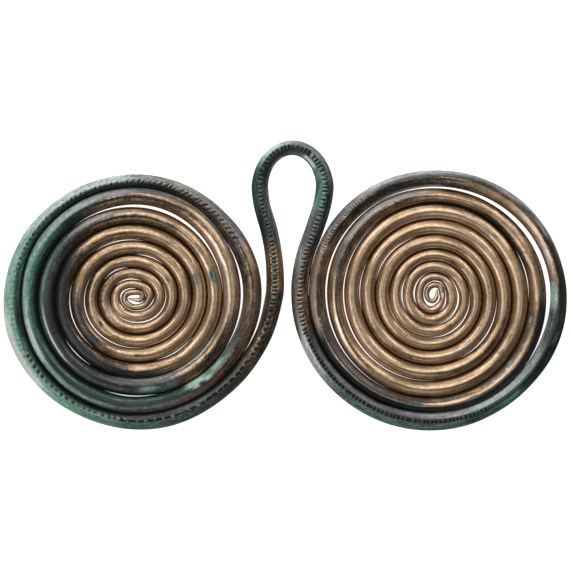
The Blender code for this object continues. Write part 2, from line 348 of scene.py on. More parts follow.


# Each row: zone, from, to, pitch, length of a cut (where it is more than the pitch, the cuts run
# together and leave narrow bars), its middle and reach across the crest (in half widths of the
# rod), depth, slant (mm along the rod for a half width across), how pale the bars between the cuts
# are painted (partly a painted highlight on the ridges) and how dark the cuts are painted
CUT_ROWS = (
    (ON_LEFT, 7.085, 7.26, 1.95, 1.2, 0.02, 0.28, 0.34, 1.8, 0.4, 0.7),
    (ON_LEFT, 7.26, 7.46, 1.9, 1.0, -0.13, 0.21, 0.36, 1.0, 0.45, 0.6),
    (ON_LEFT, 7.46, 7.58, 1.9, 1.1, 0.15, 0.34, 0.24, 0.0, 0.6, 0.25),
    (ON_LEFT, 7.58, 7.735, 2.35, 2.0, -0.22, 0.24, 0.34, -0.4, 0.6, 0.45),
    (ON_LEFT, 7.735, 7.85, 3.3, 4.4, -0.06, 0.14, 0.38, -0.4, 0.55, 0.75),
    (ON_LEFT, 7.85, 7.917, 2.7, 3.4, -0.1, 0.16, 0.42, 0.0, 0.4, 1.1),
    (ON_LOOP, 0.015, 0.172, 2.45, 1.9, -0.02, 0.2, 0.46, 0.0, 0.2, 1.3),
    (ON_LOOP, 0.182, 0.34, 1.47, 1.1, -0.03, 0.26, 0.36, 0.0, 0.5, 0.85),
    (ON_LOOP, 0.34, 0.47, 1.47, 1.0, 0.02, 0.24, 0.36, 0.0, 0.5, 0.7),
    (ON_LOOP, 0.47, 0.62, 1.47, 1.0, -0.12, 0.3, 0.36, 0.0, 0.12, 0.8),
    (ON_LOOP, 0.62, 0.985, 1.47, 1.0, -0.02, 0.28, 0.36, 0.0, 0.7, 0.7),
    (ON_RIGHT, 9.0, 8.955, 1.5, 1.0, 0.08, 0.27, 0.36, 0.0, 0.9, 0.9),
    (ON_RIGHT, 8.955, 8.68, 1.5, 1.2, -0.01, 0.19, 0.36, 0.0, 0.12, 1.0),
    (ON_RIGHT, 8.15, 8.062, 1.2, 0.65, 0.33, 0.17, 0.34, -0.6, 0.8, 0.6),
)
print("the first row of cuts lies", np.round(stretch(*CUT_ROWS[0][:3])), "mm along the rod")

# %% Close and wide rings
RINGS_PER_CUT = 6.2
PLAIN_STEP, CUT_STEP, EYE_STEP = 1.08, 0.36, 0.45       # mm between rings, at most
CUT_MARGIN = 1.0            # mm beyond a row of cuts that has its close rings as well
EYE_REACH = 25.0            # mm of rod from each tip that keeps the eye's step
STEP_GROWTH = 0.02          # what each further mm adds to it
TURN_JUMP = 0.05            # a larger step between two turn numbers is where a zone ends

step = np.full(len(along_stations), PLAIN_STEP)
for zone, start, end, pitch, *_ in CUT_ROWS:
    first, last = stretch(zone, start, end)
    cut_here = (along_stations > first - CUT_MARGIN) & (along_stations < last + CUT_MARGIN)
    step[cut_here] = min(pitch / RINGS_PER_CUT, CUT_STEP)
from_tip = np.minimum(along_stations, along_stations[-1] - along_stations)
step = np.minimum(step, EYE_STEP + np.clip(from_tip - EYE_REACH, 0, None) * STEP_GROWTH)
rings_between = np.diff(along_stations) / (step[1:] / 2 + step[:-1] / 2)
counted = np.concatenate([[0], np.cumsum(rings_between)])
along = np.interp(np.arange(0, counted[-1], 1.0), counted, along_stations)
left_x, left_y, right_x, right_y, height, turn = (
    np.interp(along, along_stations, column) for column in stations.T[:6])
left_edge, right_edge = np.stack([left_x, left_y], 1), np.stack([right_x, right_y], 1)
nearest_station = np.clip(np.searchsorted(along_stations, along), 0, len(stations) - 1)
nearest_turn, zone_of = stations[nearest_station, 5:].T
turn = np.where(np.abs(turn - nearest_turn) > TURN_JUMP, nearest_turn, turn)
width = np.hypot(*(right_edge - left_edge).T)
print(len(along), "rings")

# %% [markdown]
# ## The section
# The rod is round at its points and roof-shaped where it is thick: two gently swelling facets that
# meet in a crest, shoulders that fall to the seam, and a narrow flat strip along the back. The
# crest isn't quite in the middle, because the rod leans a little as it is wound. Small slow waves
# in the crest and the shoulders are the marks of the hammer, and they make the light run unevenly.

# %% The section's points
# Across the rod from its left edge (-1) to its right edge (+1), then back underneath
TOP = (-1, -0.97, -0.88, -0.72, -0.55, -0.38, -0.24, -0.14, -0.06, 0,
       0.06, 0.14, 0.24, 0.38, 0.55, 0.72, 0.88, 0.97, 1)
UNDER = ((0.90, 0.26), (0.62, 0.08), (0.34, 0.0), (-0.34, 0.0), (-0.62, 0.08), (-0.90, 0.26))
SEAM_HEIGHT = 0.45          # of the rod's height, where it is widest
ROOF = 0.27                 # how far a crisp facet falls from crest to edge
CREST_RADIUS = 0.07
ROUNDNESS, SHOULDER = 2.2, 7            # the powers that bend a round top and a crisp one down
LEFT_LEAN, RIGHT_LEAN = 1.3, 0.3        # how far the round turns lean as they are wound
LEAN = 0.05                 # the crest's mean shift for a lean of 1; it swings twice a turn

# (turn, crispness of the crest) and where the crest lies across the rod
LEFT_CRISP = ((-1, 0.0), (3, 0.1), (6, 0.4), (6.9, 0.7), (7.4, 1.0), (8, 1.0))
RIGHT_CRISP = ((-1, 0.0), (3, 0.1), (6, 0.3), (7.5, 0.65), (8.3, 1.0), (9, 1.0))
LEFT_CREST = ((0, 0), (6.9, 0.0), (7.1, 0.05), (7.4, 0.04), (7.55, 0.0), (7.62, -0.14),
              (7.75, -0.08), (7.9, -0.13))
LOOP_CREST = ((0, -0.16), (0.16, -0.05), (0.3, 0), (1, 0))
RIGHT_CREST = ((0, 0), (7.9, 0.0), (8.1, 0.06), (8.3, 0.1), (8.5, 0.05), (8.7, 0.0), (9, 0))
print("the section has", len(TOP) + len(UNDER), "points")

# %% Crest and facets of every ring
random = np.random.default_rng(7)


def hammer(length, amount, waves=9):
    """A slow uneven wave along the rod for every ring, with about that length in mm."""
    sizes = length * random.uniform(0.5, 2.0, waves)
    shifts = random.uniform(0, 2 * np.pi, waves)
    total = sum(np.sin(2 * np.pi * along / size + shift) for size, shift in zip(sizes, shifts))
    return total * amount / math.sqrt(waves)


def by_zone(left, loop, right):
    return np.where(zone_of == ON_LEFT, left, np.where(zone_of == ON_LOOP, loop, right))


crisp = by_zone(smooth(LEFT_CRISP, turn), 1.0, smooth(RIGHT_CRISP, turn))
crest = by_zone(smooth(LEFT_CREST, turn), smooth(LOOP_CREST, turn), smooth(RIGHT_CREST, turn))
lean = by_zone(LEFT_LEAN, 0, RIGHT_LEAN) * (1 - crisp)
lean = lean * (LEAN + LEAN * np.cos(4 * np.pi * turn))
crest = crest - lean + hammer(length=14, amount=0.035) * (0.4 + 0.6 * crisp)
roof = ROOF + hammer(length=9, amount=0.018)
print("the crest lies between", crest.min().round(2), "and", crest.max().round(2))


def section_heights(across):
    """The top's height at places across, for every ring, as shares of the rod's height."""
    aside = across[None] - crest[:, None]
    from_crest = np.where(aside < 0, -aside / (1 + crest)[:, None], aside / (1 - crest)[:, None])
    from_crest = np.clip(from_crest, 0, 1)
    rounded = np.sqrt(1 - from_crest**ROUNDNESS) * (1 - SEAM_HEIGHT)
    slope = np.sqrt(from_crest**2 + CREST_RADIUS**2) - CREST_RADIUS
    roofed = (1 - SEAM_HEIGHT - roof[:, None] * slope) * np.sqrt(1 - from_crest**SHOULDER)
    return SEAM_HEIGHT + rounded + (roofed - rounded) * crisp[:, None]


# %% [markdown]
# ## The cuts
# A row of short cuts was punched across the crest of the loop and the outermost turns, by hand, so
# no two are quite alike. Each cut is a smooth dent, deepest in its middle. Their spacing, length
# and lean change along the rod as the smith's grip changed. The same number that lowers the metal
# is kept for the finish, which paints the cuts darker.

# %% Cut depths
PLACE_JITTER = 0.11         # of the pitch, by which a cut misses its place
STRENGTHS = (0.5, 1.05)     # from the weakest blow to the strongest
FULL_REACH, FADING_REACH = 0.7, 0.6     # of a cut's reach: where it is deep, and where it fades

across = np.array(TOP, float)
cut = np.zeros((len(along), len(TOP)))      # 0 on the plain rod, 1 at the bottom of a cut
cut_darkening = np.zeros_like(cut)
bar = np.zeros_like(cut)                    # 1 on a pale bar that is left between two cuts
cut_depth = np.zeros(len(along))
for zone, start, end, pitch, length, middle, reach, depth, slant, pale, dark in CUT_ROWS:
    first, last = stretch(zone, start, end)
    count = round((last - first) / pitch)
    uneven = random.normal(0, PLACE_JITTER, count + 1)
    strength = random.uniform(*STRENGTHS, count + 1)
    place = (along[:, None] + slant * across[None] - first) / pitch
    number = np.clip(np.rint(place), 0, count).astype(int)
    off = np.abs(place - number - uneven[number]) * pitch / (length / 2)
    dent = np.clip(0.75 + 0.75 * np.cos(np.pi * np.clip(off, 0, 1)), 0, 1)
    from_middle = np.abs(across - middle) / reach
    window = 1 - np.clip((from_middle - FULL_REACH) / FADING_REACH, 0, 1)
    inside = ((along > first - pitch / 2) & (along < last + pitch / 2))[:, None]
    this_cut = dent * window[None] * strength[number] * inside
    cut = np.maximum(cut, this_cut)
    cut_darkening = np.maximum(cut_darkening, this_cut * dark)
    bar = np.maximum(bar, (1 - dent) * window[None] * strength[number] * inside * pale)
    cut_depth = np.where(inside[:, 0], depth, cut_depth)
    print(count + 1, "cuts at a pitch of", pitch, "mm")

# %% [markdown]
# ## The skin
# With the edges, heights and cuts known, every ring is one row of points, and the skin's quads join
# each ring to the next. numpy makes the whole table at once, which is quicker and shorter than
# adding vertices one by one. The tips are closed with a few shrinking rings, so they end blunt.

# %% Rings of points
ring_top = section_heights(across) * height[:, None] - cut * cut_depth[:, None]
under_across, under_up = np.array(UNDER).T
ring_across = np.tile(np.concatenate([across, under_across]), (len(along), 1))
ring_up = np.concatenate([ring_top, under_up[None] * height[:, None]], 1)
centres, halves = (left_edge + right_edge) / 2, (right_edge - left_edge) / 2

TIP_SHARES = (0.93, 0.75, 0.42)             # of the section, over the last bit of each tip
TIP_LENGTHS = (0.35, 0.75, 0.97)            # how far beyond the last ring, in half widths
TIP_RINGS = len(TIP_SHARES)
BOX_MARGIN = 0.01                           # mm by which the skin stays inside the CAD's box


def tip_rings(end):
    """Shrinking rings beyond one end of the rod, nearest first."""
    nearby = 1 if end == 0 else -2
    out = centres[end] - centres[nearby]
    out *= width[end] / 2 / np.hypot(*out)
    lift = height[end] * SEAM_HEIGHT
    for share, length in zip(TIP_SHARES, TIP_LENGTHS):
        flat = centres[end] + out * length + halves[end] * ring_across[end][:, None] * share
        yield np.column_stack([flat, lift + (ring_up[end] - lift) * share])


body = centres[:, None] + halves[:, None] * ring_across[:, :, None]
body = np.concatenate([body, ring_up[:, :, None]], 2)
first_tip, last_tip = (np.array(list(tip_rings(end))) for end in (0, -1))
ORIGIN = (0.037, -0.135, 0)                 # the middle of the CAD's outline in these coordinates
low, high = (np.array(corner) / METRE for corner in cad_box)
points = np.concatenate([first_tip[::-1], body, last_tip]) - ORIGIN
points = np.clip(points, low + BOX_MARGIN, high - BOX_MARGIN)
print("the skin has", points.shape[0], "rings of", points.shape[1], "points")

# %% Faces
ring_count, corners = points.shape[:2]
corner_of = np.arange(ring_count * corners).reshape(ring_count, corners)
turned = np.roll(corner_of, -1, axis=1)
quads = np.stack([corner_of[:-1], turned[:-1], turned[1:], corner_of[1:]], 2).reshape(-1, 4)
cap_first, cap_last = ring_count * corners, ring_count * corners + 1
caps = [(cap_first, b, a) for a, b in zip(corner_of[0].tolist(), turned[0].tolist())]
caps += [(cap_last, a, b) for a, b in zip(corner_of[-1].tolist(), turned[-1].tolist())]
vertices = np.concatenate([points.reshape(-1, 3), [points[0].mean(0), points[-1].mean(0)]])
mesh = bpy.data.meshes.new("brooch_rod_finished")
mesh.from_pydata((vertices * METRE).tolist(), [], [*quads.tolist(), *caps])
mesh.shade_smooth()
rod = new_object("brooch_rod_finished", mesh)
print(len(quads) * 2 + len(caps), "triangles")

# %% [markdown]
# ## A map for the finish
# A finish that is baked into a picture needs a flat map of the skin. Unwrapping two and a half
# metres of thin rod by itself would waste the picture, so the script lays the map out: the rod is
# cut into rows of equal length that lie one above the other, and each row is the rod's girth tall.
# The cut along each row runs down the middle of the back, where nobody sees it.

# %% Rows of the map
MAP_ROWS = 13
ROW_FILL = 0.93             # the share of a row's height that the rod takes up
ROW_START, ROW_LENGTH = 0.005, 0.985
TIP_ROOM = 0.3              # mm of map for the small faces that close a tip

tip_reach = np.array(TIP_LENGTHS)
skin_along = np.concatenate([along[0] - tip_reach[::-1] * width[0] / 2, along,
                             along[-1] + tip_reach * width[-1] / 2])
map_along = skin_along - skin_along[0] + TIP_ROOM
row_length = (map_along[-1] + TIP_ROOM) / MAP_ROWS

cut_corner = corners - 3                    # the map is cut along this corner of the back
typical = np.stack([ring_across[0] * width.mean() / 2, ring_up.mean(0)], 1)
sides = np.hypot(*(np.roll(typical, -1, axis=0) - typical).T)
order = np.roll(np.arange(corners), -cut_corner)
side_start = np.zeros(corners)
side_start[order] = np.concatenate([[0], np.cumsum(sides[order])[:-1]]) / sides.sum()
side_end = np.roll(side_start, -1)
side_end[cut_corner - 1] = 1.0


def map_places(at, row, share):
    """Where a place along and around the rod lies on the map."""
    u = ROW_START + ROW_LENGTH * (at / row_length - row)
    v = (row + 0.5 + (share - 0.5) * ROW_FILL) / MAP_ROWS
    return np.stack(np.broadcast_arrays(u, v), -1)


row_of = np.minimum((map_along[:-1] / row_length).astype(int), MAP_ROWS - 1)[:, None]
here, there = map_along[:-1, None], map_along[1:, None]
quad_map = np.stack([map_places(here, row_of, side_start), map_places(here, row_of, side_end),
                     map_places(there, row_of, side_end), map_places(there, row_of, side_start)], 2)
middle_share = (side_start + side_end) / 2
cap_map = []
for ring_at, beyond, row, first, second in (
        (map_along[0], -TIP_ROOM, 0, side_end, side_start),
        (map_along[-1], TIP_ROOM, MAP_ROWS - 1, side_start, side_end)):
    cap_map.append(np.stack([map_places(ring_at + beyond, row, middle_share),
                             map_places(ring_at, row, first), map_places(ring_at, row, second)], 1))
uv_layer = mesh.uv_layers.new(name="OFBake")
uv = np.concatenate([quad_map.reshape(-1, 2), *(part.reshape(-1, 2) for part in cap_map)])
uv_layer.data.foreach_set("uv", uv.astype(np.float32).ravel())
print("the map spans", uv.min(0).round(3), uv.max(0).round(3))

# %% [markdown]
# ## Where the finish changes
# In the ground the bronze changed unevenly. The inner turns stayed bare and golden brown, the turns
# near the rim went brown and black, and the parts that lay in wetter soil went green or chalky. A
# painter would mix a few paints, block in these regions and let the fine grain break up
# their edges, and that is what happens here. Each stroke lies along the rod from one turn to
# another, on part of its width. The paints are four numbers on the skin that the finish reads. The
# strokes are a plain text that a small function reads, because three hundred of them as lists
# would be mostly quotes and brackets.

# %% The paints
# Each paint: tarnish (-0.7 polished, 0 bare gold, 0.6 brown, 1 black), crust (how far a dull layer
# covers the metal), light (how light that layer is; above 1 it is partly polished) and green (0
# grey, 1 green). The near-white crust with a light of 1.2 is a painted glint. The polished and the
# worn gold and the ash, chalk and frost crusts are wear and crust, and in part painted highlight on
# edges and facets that face the light.
PAINTS = {
    "shine": (-0.7, 0.0, 0.8, 0.0), "worn": (-0.35, 0.0, 0.8, 0.0), "bare": (0.0, 0.0, 0.5, 0.0),
    "dull": (0.32, 0.0, 0.4, 0.0), "brown": (0.58, 0.0, 0.3, 0.0), "black": (1.0, 0.9, 0.05, 0.3),
    "umber": (0.82, 0.3, 0.14, 0.0), "slate": (1.0, 1.0, 0.28, 0.35), "ash": (0.6, 1.0, 0.52, 0.0),
    "chalk": (0.6, 1.0, 0.82, 0.1), "snow": (0.6, 1.0, 1.2, 0.2), "mire": (1.0, 1.0, 0.08, 0.9),
    "pine": (1.0, 1.0, 0.38, 1.0), "teal": (1.0, 1.0, 0.52, 0.8), "grass": (1.0, 1.0, 0.66, 1.0),
    "sage": (1.0, 1.0, 0.76, 1.0), "frost": (0.9, 1.0, 0.97, 0.7),
}
LAYERS = ("tarnish", "crust", "light", "green")
print(len(PAINTS), "paints of", len(LAYERS), "numbers each")

# %% The painter's strokes
# Each stroke: paint, place along from:to (turns on a disc, or shares of the loop), place across
# from:to (-100 is the left edge and 100 the right one; a missing end is past the edge, and a stroke
# without this place takes the whole width) and cover in percent. Later strokes lie on top. The
# near-white strokes are painted glints, and many polished, worn, ash, chalk and frost strokes are
# painted highlights on edges and facets that face the light.
LEFT_STROKES = """
    worn 0.9:3.3 80: 30, worn 4.85:5.3 80: 40, worn 4.88:5.25 :-70 40, dull 0.7:5.2 20,
    dull 4.1:6.3 20, dull 1.2:1.56 60, dull 2.2:2.5 :20 70, dull 2.3:2.68 10: 60,
    dull 3.28:3.48 20: 50, dull 3.25:3.5 :0 80, brown 4.25:4.46 :10 50, frost 0.8:0.98 -50:10 25,
    brown 1.34:1.56 10:80 80, umber 2.34:2.56 25:80 70, worn 2.36:2.54 0:30 60,
    umber 2.07:2.09 -25:10 100, umber 2.6:2.62 -30:0 80, umber 3.04:3.055 -40:-10 90,
    brown 2.95:3.2 30:90 50, umber 3.49:3.67 -40:80 95, slate 3.52:3.64 0:50 50,
    ash 3.48:3.56 10:40 50, black 3.53:3.655 -45:-15 80, teal 3.655:3.72 -90:-20 35,
    umber 3.75:3.77 -20:10 90, teal 4.03:4.06 -60:0 60, dull 4.18:4.4 40, dull 4.26:4.46 0: 60,
    brown 4.34:4.46 40, worn 4.24:4.38 0:40 40, umber 4.38:4.66 :-30 70, black 4.4:4.8 10: 100,
    black 4.42:4.74 -45: 90, slate 4.44:4.7 10:50 55, brown 4.66:4.74 :-40 80,
    teal 5.028:5.056 -70:35 95, mire 5.036:5.05 -40:5 85, dull 5.08:5.34 :-20 90,
    brown 5.14:5.36 :-50 80, brown 5.26:5.38 35, umber 5.17:5.36 -35:15 75,
    chalk 5.29:5.4 20:80 80, ash 5.24:5.36 30:80 30, umber 5.36:5.8 100, black 5.58:5.79 -30: 85,
    brown 5.38:5.52 :-75 50, slate 5.37:5.6 -10:100 90, teal 5.39:5.58 25:65 80,
    chalk 5.3:5.385 25:65 70, black 5.42:5.6 -80:10 60, pine 5.42:5.52 -60:0 60,
    slate 5.56:5.78 10:70 60, black 5.56:5.76 :-20 80, slate 5.6:5.74 -70:-20 70,
    ash 5.6:5.75 20:60 50, ash 5.6:5.72 -65:-25 35, snow 5.52:5.62 26:50 100,
    teal 5.755:5.835 -25:90 75, mire 5.75:5.84 -25:10 45, mire 5.795:5.805 10:50 50,
    frost 5.758:5.785 0:50 50, ash 5.7:5.87 -110:-25 80, umber 5.83:5.94 -30: 60,
    brown 5.84:5.96 -40: 80, umber 5.86:5.955 -35:60 90, dull 5.94:6 0: 60, worn 5.88:6 :-75 90,
    chalk 5.72:5.94 :-65 70, brown 5.82:5.93 -65:0 50, worn 5.92:6.08 :-70 80,
    shine 6:6.06 -70:-25 70, dull 5.83:5.93 -75:-20 90, chalk 5.82:5.92 :-75 60,
    brown 5.82:5.92 -65:-20 40, worn 5.95:6.1 -80:-15 100, shine 5.92:6.06 -120:-25 60,
    worn 5.99:6.08 20: 60, dull 6.08:6.3 :0 90, worn 6.04:6.2 70: 90, brown 6.24:6.34 :0 90,
    umber 6.13:6.34 -33:22 85, brown 6.15:6.26 :-60 60, worn 6.06:6.2 75: 90,
    chalk 6.06:6.34 78: 70, ash 6.19:6.32 30: 70, chalk 6.26:6.36 20:80 80, mire 6.33:6.66 100,
    frost 6.32:6.44 15:90 85, grass 6.38:6.6 0:100 90, pine 6.38:6.62 -50:10 80,
    teal 6.4:6.5 -15:20 50, frost 6.4:6.56 35:80 45, chalk 6.5:6.52 10:50 80,
    snow 6.535:6.6 30:75 100, mire 6.6:6.86 90, teal 6.56:6.8 -70:-30 70, frost 6.52:6.66 20:80 70,
    teal 6.62:6.72 20:80 50, slate 6.66:6.86 10:80 90, ash 6.64:6.86 20:60 40,
    frost 6.62:6.72 30:70 50, ash 6.72:6.92 75: 70, umber 6.84:6.95 0:80 60, brown 6.89:7.02 0: 80,
    umber 6.86:7 :0 90, ash 6.72:6.86 15: 55, dull 6.8:6.96 12: 60, grass 6.83:6.93 -100:-20 80,
    frost 6.832:6.866 -95:-35 90, frost 6.84:6.875 -35:5 80, frost 6.88:6.9 -80:-40 70,
    mire 6.852:6.862 -30:10 100, chalk 6.89:7.04 :-75 60, dull 6.97:7.1 -90: 70,
    ash 6.92:7.06 -100:-30 35, worn 7.035:7.08 30:80 90, brown 7.01:7.2 :15 85,
    umber 6.93:7.08 -20:15 60, ash 6.97:7.08 85: 60, umber 7.03:7.26 -90:0 85,
    black 7.16:7.3 :-30 80, ash 7.075:7.24 10: 100, umber 7.06:7.15 -60:10 50,
    frost 7.16:7.27 0: 30, mire 7.2:7.62 :-10 100, frost 7.25:7.44 -12: 85,
    pine 7.36:7.62 -75:-10 70, ash 7.455:7.52 -85:-65 80, grass 7.42:7.72 -20: 100,
    sage 7.4:7.6 10: 90, sage 7.56:7.74 60: 50, sage 7.55:7.66 -20:50 40, mire 7.52:7.76 :-45 100,
    frost 7.52:7.63 30: 90, snow 7.53:7.61 50: 100, pine 7.55:7.76 -55:-10 100,
    slate 7.73:7.93 -80: 100, teal 7.68:7.8 10: 70, black 7.72:7.93 :-70 90,
    ash 7.8:7.95 -70:-25 40, umber 7.86:7.95 10: 60, shine 1.52:1.74 :-60 70,
    brown 1.52:1.74 20:70 60, brown 2.52:2.74 20:65 50, shine 3.77:3.99 :-70 70,
    dull 4.02:4.24 20:60 50, shine 4.88:5.1 :-25 60, umber 5.19:5.31 -20:20 50,
    dull 5.2:5.31 -65:-25 70, snow 5.84:5.93 :-70 60, chalk 5.92:6 :-80 40,
    shine 6:6.12 -75:-20 90, snow 6.01:6.09 -60:-30 22, chalk 6.31:6.4 15:90 50,
    chalk 6.08:6.26 72: 50, ash 6.79:6.86 60: 70, black 7.05:7.16 -65:-15 50
"""
LOOP_STROKES = """
    umber 0:0.24 85, brown 0.02:0.14 -80:-20 50, ash 0:0.1 -60:-20 50, mire 0.165:0.235 -40:30 80,
    ash 0.12:0.3 :-75 80, chalk 0.2:0.38 80: 60, brown 0.1:0.24 40: 60, umber 0.22:0.34 50,
    dull 0.215:0.33 -50:90 100, bare 0.23:0.32 10:70 70, pine 0.235:0.3 -25:15 75,
    mire 0.32:0.8 100, ash 0.33:0.46 30: 60, black 0.34:0.46 -20:30 70, ash 0.46:0.64 65: 90,
    pine 0.4:0.5 :-30 60, frost 0.5:0.64 :-35 100, mire 0.44:0.62 -25:35 90,
    teal 0.52:0.6 40:100 45, mire 0.47:0.61 -28:42 70, umber 0.46:0.575 45: 55,
    chalk 0.5:0.55 80: 90, chalk 0.22:0.44 80: 55, umber 0.22:0.33 -65:-20 50,
    ash 0.57:0.7 :-40 80, slate 0.68:0.8 :-70 90, grass 0.62:0.785 -15:80 75, teal 0.6:0.79 0: 70,
    frost 0.74:0.8 60: 60, mire 0.58:0.66 -30:25 90, snow 0.61:0.65 48:78 100, umber 0.78:1 100,
    ash 0.77:0.9 10: 85, chalk 0.84:0.92 10: 40, slate 0.77:0.84 :40 80, black 0.78:0.86 :-40 70,
    brown 0.86:1 :-20 90, ash 0.9:1 30: 90, umber 0.89:0.97 70: 40, mire 0:0.07 70: 60
"""
RIGHT_STROKES = """
    worn 2:7.1 75: 40, worn 6.2:6.42 :20 60, worn 5.25:5.5 :-20 50, dull 6.6:6.82 -80:-20 50,
    dull 7.34:7.47 -80:80 50, brown 8.93:9 :20 100, ash 8.94:9 20: 90, slate 8.4:8.95 95,
    chalk 8.88:8.968 12: 85, snow 8.9:8.96 15:60 35, brown 8.95:9 70: 60, ash 8.72:8.93 -80:-20 85,
    chalk 8.52:8.75 :-20 80, black 8.76:8.94 :-85 100, chalk 8.68:8.8 :-60 60,
    black 8.62:8.94 -25:15 100, frost 8.61:8.7 :-70 70, black 8.66:8.82 -25:20 70,
    teal 8.68:8.9 15: 60, mire 8.45:8.7 -15: 95, sage 8.62:8.69 20: 40, grass 8.63:8.66 10:70 50,
    grass 8.545:8.56 20:60 50, frost 8.62:8.69 -90:-30 60, slate 8.51:8.57 -80:0 80,
    frost 8.472:8.516 -100:-10 80, dull 8.47:8.5 0:50 60, bare 8.28:8.47 :20 100,
    worn 8.4:8.475 :-10 100, shine 8.415:8.475 :-25 100, chalk 8.42:8.465 -70:-30 35,
    brown 8.42:8.475 -15:20 70, worn 8.3:8.39 -65:20 50, slate 8.28:8.47 20: 90,
    ash 8.28:8.46 50: 90, chalk 8.28:8.42 70: 60, umber 8.28:8.54 6:42 100,
    umber 8.39:8.54 30:80 60, worn 8.4:8.425 42:72 100, chalk 8.4:8.425 42:72 50,
    worn 8.335:8.368 42:72 100, chalk 8.335:8.368 42:72 50, dull 8.24:8.32 :20 90,
    umber 8.13:8.28 :20 100, black 8.14:8.22 -60:20 50, ash 8.12:8.3 25: 100,
    chalk 8.13:8.3 50: 85, slate 8.19:8.34 20:65 40, black 8.04:8.16 -20:20 90,
    chalk 8.11:8.27 :-75 100, frost 8.17:8.26 50: 35, brown 8.03:8.15 :20 100,
    umber 8.09:8.16 -65:20 80, ash 8.04:8.14 20: 90, dull 7.97:8.08 :0 90, worn 7.94:8.06 15: 100,
    brown 7.52:7.98 :20 85, umber 7.74:7.98 :10 80, umber 7.82:8.02 -30:14 100,
    black 7.5:7.98 15: 100, ash 7.8:8 :10 45, ash 7.52:7.8 -100:-25 35, dull 7.96:8.06 -65:-20 60,
    umber 7.8:7.98 -25:15 50, shine 7.95:8.03 22:80 80, shine 7.68:7.93 7:18 65,
    worn 7.56:7.76 -25:20 70, shine 7.58:7.72 -10:15 50, pine 7.765:7.79 -20:30 80,
    teal 7.683:7.695 -10:30 80, grass 7.608:7.62 -80:-50 70, frost 7.532:7.545 -75:-40 70,
    umber 7.32:7.46 :-50 80, brown 7.26:7.5 50: 80, umber 6.22:6.48 60: 80, umber 7:7.14 -90:90 35,
    brown 7.06:7.24 :0 60, worn 7.03:7.25 10:90 70, ash 7.05:7.25 0:90 35,
    chalk 7.03:7.24 15:70 65, umber 7.04:7.09 -30:60 50, umber 6.84:7.26 -20:10 50,
    umber 6.9:7.03 -25:5 50, shine 6.92:6.98 10:40 90, umber 6.6:6.7 0:70 35,
    grass 6.573:6.585 -35:-10 70, grass 6.602:6.612 -30:0 50, teal 6.375:6.385 -20:10 80,
    brown 5.52:5.74 0:100 60, brown 5.55:5.68 -100:-50 70, teal 4.64:4.66 -50:-10 40,
    teal 4.8:4.815 20:60 50, umber 4.47:4.485 -30:0 60, dull 4.3:4.55 50, teal 3.46:3.48 10:50 60,
    umber 3.72:3.95 -70:-20 40, umber 2.66:2.68 -20:10 80, snow 8.42:8.465 -65:-30 45,
    worn 8:8.08 60: 80, chalk 8:8.07 70: 30, dull 7.97:8.04 -65:-25 80, snow 7.66:7.97 8:20 40,
    shine 6.8:6.91 :-70 60, brown 6.8:6.9 -15:20 50, shine 6.62:6.8 75: 40, shine 5.52:5.74 75: 40,
    brown 4.77:4.98 20:70 60, shine 4.52:4.74 -20:20 50, dull 4.52:4.74 -65:-25 50,
    dull 4.02:4.24 20:65 50, shine 3.77:4 :-70 60, dull 3.52:3.74 -70:-20 70,
    brown 3.27:3.48 -70:-20 60, shine 2.76:3 70: 70, shine 1.28:2.48 60: 70,
    brown 2.02:2.24 :-70 50, umber 1.25:1.48 :-60 70
"""

# %% Reading the strokes
PAST_EDGE = 130             # percent of the half width


def ends_of(place):
    """Both ends of a place such as 20:80."""
    low, high = place.split(":")
    return float(low or -PAST_EDGE), float(high or PAST_EDGE)


def strokes_in(text):
    """Rows of paint, both ends along, both ends across and cover, none of them in percent."""
    for stroke in text.split(","):
        name, place_along, *place_across, cover = stroke.split()
        percents = *ends_of(*place_across or [":"]), float(cover)
        yield name, *ends_of(place_along), *(percent / 100 for percent in percents)


TEXTS = {ON_LEFT: LEFT_STROKES, ON_LOOP: LOOP_STROKES, ON_RIGHT: RIGHT_STROKES}
strokes = [(zone, *stroke) for zone, text in TEXTS.items() for stroke in strokes_in(text)]
print(len(strokes), "strokes")

# %% Painting
ALONG_FADE = 13.0           # mm over which a long stroke begins and ends
ACROSS_FADE = 0.26          # the same across, in half widths


def ramp_up(at, start, length):
    share = np.clip((at - start) / length, 0, 1)
    return share * share * (3 - 2 * share)


def between(at, low, high, fade):
    """1 between low and high and 0 outside, with soft ends."""
    fade = min(fade, (high - low) / 2)
    return ramp_up(at, low - fade / 2, fade) * (1 - ramp_up(at, high - fade / 2, fade))


# The skin underneath takes the paint of the edge that it is next to
every_across = np.concatenate([across, np.sign(under_across) * 1.2])
paint = {layer: np.full((ring_count, corners), start)
         for layer, start in zip(LAYERS, PAINTS["bare"])}
for zone, name, start, end, low_side, high_side, cover in strokes:
    first, last = stretch(zone, start, end)
    mask = (between(skin_along, first, last, ALONG_FADE)[:, None]
            * between(every_across, low_side, high_side, ACROSS_FADE)[None] * cover)
    for layer, amount in zip(LAYERS, PAINTS[name]):
        paint[layer] += (amount - paint[layer]) * mask
for layer, amounts in paint.items():
    print(layer, "runs from", round(amounts.min(), 2), "to", round(amounts.max(), 2))

